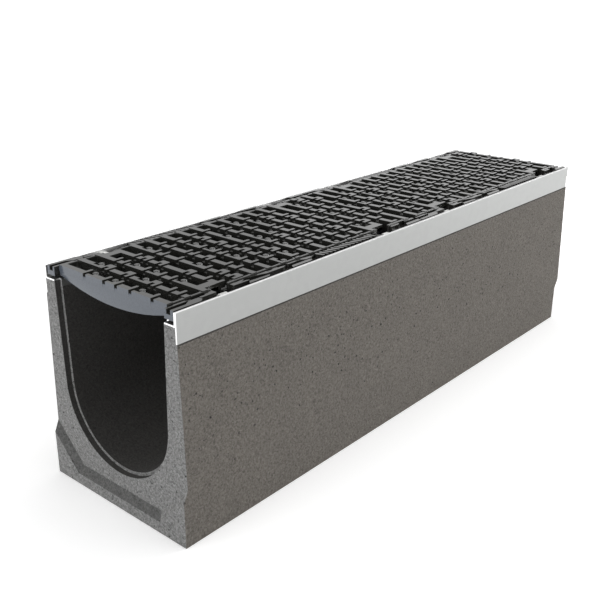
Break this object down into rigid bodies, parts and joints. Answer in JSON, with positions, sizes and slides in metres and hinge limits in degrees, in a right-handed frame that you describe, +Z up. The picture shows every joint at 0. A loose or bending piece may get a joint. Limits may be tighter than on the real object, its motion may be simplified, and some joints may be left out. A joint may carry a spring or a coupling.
{
  "type": "channel drain",
  "caption": "Concrete drainage channel with a U-shaped bore, folded steel edge rails and two slotted cast iron gratings held by boltless locks.",
  "frame": {"origin": "middle of the channel's underside, halfway along the rails", "axes": "+Y along the channel towards the end with the set-back, +Z up, +X across"},
  "size_m": [0.265, 1.007, 0.3105],
  "materials": {
    "concrete": "cast",
    "galvanised_steel": "satin",
    "coated_iron": "coated",
    "spring_steel": "satin",
    "rubber": "matt"
  },
  "bodies": {
    "root": {"channel_body": "concrete", "edge_rail_left": "galvanised_steel", "edge_rail_right": "galvanised_steel", "grating_front": "coated_iron", "grating_rear": "coated_iron", "rail_anchor_left_1": "galvanised_steel", "rail_anchor_left_2": "galvanised_steel", "rail_anchor_left_3": "galvanised_steel", "rail_anchor_left_4": "galvanised_steel", "rail_anchor_right_1": "galvanised_steel", "rail_anchor_right_2": "galvanised_steel", "rail_anchor_right_3": "galvanised_steel", "rail_anchor_right_4": "galvanised_steel", "locking_lug_left_1": "galvanised_steel", "locking_lug_left_2": "galvanised_steel", "locking_lug_left_3": "galvanised_steel", "locking_lug_left_4": "galvanised_steel", "locking_lug_right_1": "galvanised_steel", "locking_lug_right_2": "galvanised_steel", "locking_lug_right_3": "galvanised_steel", "locking_lug_right_4": "galvanised_steel", "lock_spring_left_1": "spring_steel", "lock_spring_left_2": "spring_steel", "lock_spring_left_3": "spring_steel", "lock_spring_left_4": "spring_steel", "lock_spring_right_1": "spring_steel", "lock_spring_right_2": "spring_steel", "lock_spring_right_3": "spring_steel", "lock_spring_right_4": "spring_steel", "rubber_rest_left_1": "rubber", "rubber_rest_left_2": "rubber", "rubber_rest_left_3": "rubber", "rubber_rest_left_4": "rubber", "rubber_rest_right_1": "rubber", "rubber_rest_right_2": "rubber", "rubber_rest_right_3": "rubber", "rubber_rest_right_4": "rubber"}
  },
  "joints": []
}
